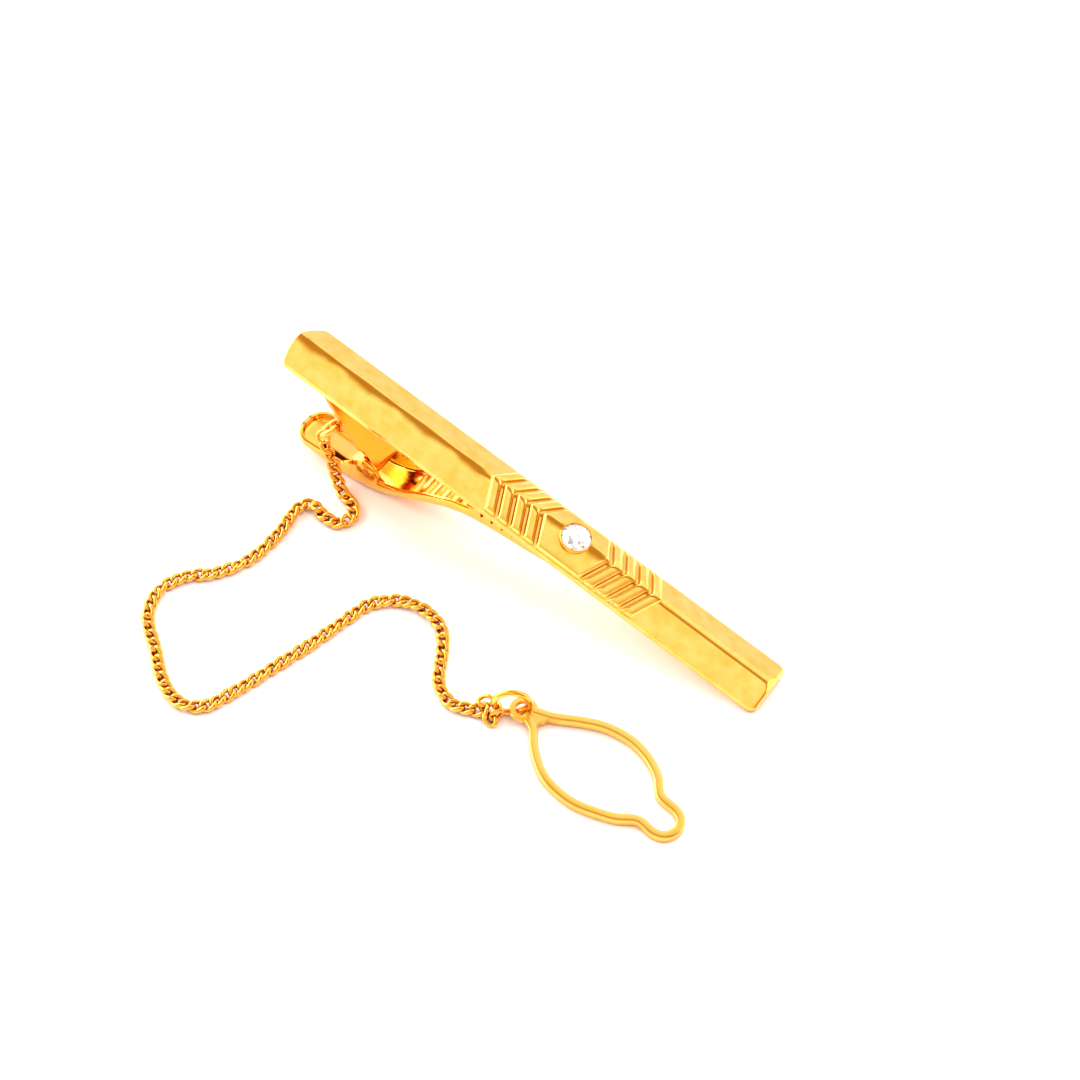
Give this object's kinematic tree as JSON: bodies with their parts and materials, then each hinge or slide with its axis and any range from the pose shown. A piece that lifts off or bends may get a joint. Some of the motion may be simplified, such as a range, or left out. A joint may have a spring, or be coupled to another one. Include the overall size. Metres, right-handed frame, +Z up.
{
  "type": "tie tack",
  "caption": "Gold tie bar with ridged front, raised chevrons and round stone, sprung lever clip, curb chain and button loop.",
  "frame": {"origin": "on the table, under the middle of the bar and clip as they stand at rest on the lever's heel and the bar's far end", "axes": "+X from the thumb end to the jaw's open end along the table, +Z up, +Y away from the side where the chain lies"},
  "size_m": [0.0583, 0.0371, 0.0159],
  "materials": {
    "gold_bright": "polished",
    "gold_satin": "satin",
    "spring_steel": "satin",
    "stone": "polished"
  },
  "bodies": {
    "bar": {"front_bar": "gold_bright", "stone_bezel": "gold_bright", "stone": "stone", "hinge_bracket": "gold_bright", "hinge_pin": "gold_bright", "leaf_spring": "spring_steel", "clip_ring": "gold_bright", "chain_first_link": "gold_bright", "chain": "gold_bright", "chain_last_link": "gold_bright"},
    "lever": {"clip_lever": "gold_bright"},
    "end_ring": {"loop_ring": "gold_bright"},
    "loop": {"button_loop": "gold_satin"}
  },
  "joints": [
    {"name": "lever_hinge", "type": "hinge", "parent": "bar", "child": "lever", "pos_m": [-0.01877, 0, 0.00306], "axis": [0, 1, 0], "range_deg": [0, 22], "stiffness_Nm_per_rad": 0.06, "springref_deg": -20.05, "deforming": ["leaf_spring"]},
    {"name": "ring_swing", "type": "hinge", "parent": "bar", "child": "end_ring", "pos_m": [0.00822, -0.01691, 0.0011], "axis": [0.575, -0.8181, 0], "range_deg": [0, 40]},
    {"name": "loop_swivel", "type": "hinge", "parent": "end_ring", "child": "loop", "pos_m": [0.01048, -0.01532, 0.00084], "axis": [0, 0, 1], "range_deg": [-30, 30]}
  ]
}
